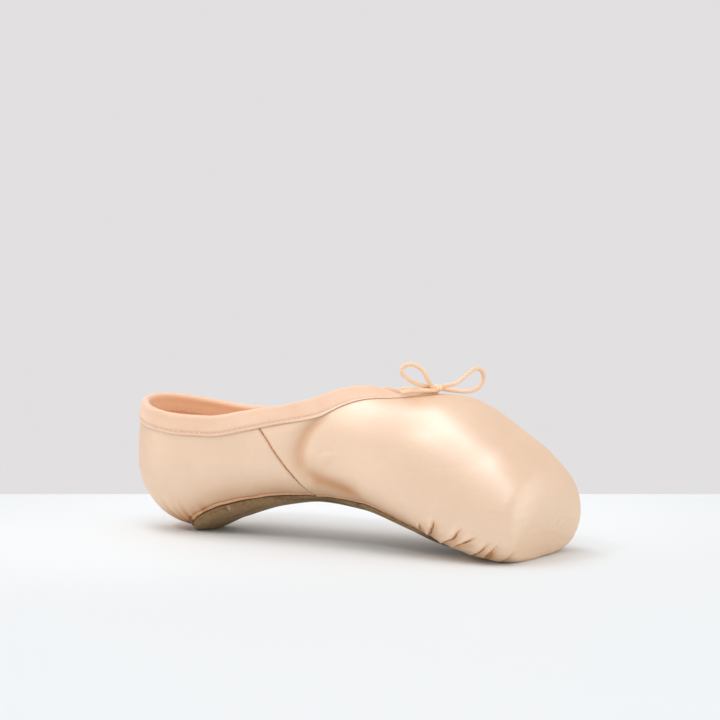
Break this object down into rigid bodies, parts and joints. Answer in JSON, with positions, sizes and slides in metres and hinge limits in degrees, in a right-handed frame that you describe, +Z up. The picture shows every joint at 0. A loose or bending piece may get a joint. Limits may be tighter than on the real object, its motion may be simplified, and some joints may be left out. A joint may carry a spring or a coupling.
{
  "type": "pointe shoe",
  "caption": "Ballet pointe shoe in peach satin with an arched leather outsole, a hardened toe box with a flat platform, and a bound collar drawn in by a cord tied in a small bow.",
  "frame": {"origin": "on the floor, under the middle of the shoe's length, bow left out", "axes": "+X to the toe, +Z up, the shoe is symmetric about the XZ plane but for its bow"},
  "size_m": [0.2247, 0.0712, 0.086],
  "materials": {
    "satin": "glossy peach satin",
    "sole_leather": "taupe suede leather",
    "sock": "matt peach cotton",
    "binding_cotton": "matt peach cotton tape",
    "cord": "matt peach cord"
  },
  "bodies": {
    "root": {"upper": "satin", "outsole": "sole_leather", "insole": "sock", "collar_binding": "binding_cotton", "bow_knot": "cord", "bow_loop_left": "cord", "bow_loop_right": "cord", "bow_end_back": "cord", "bow_end_front": "cord"}
  },
  "joints": []
}
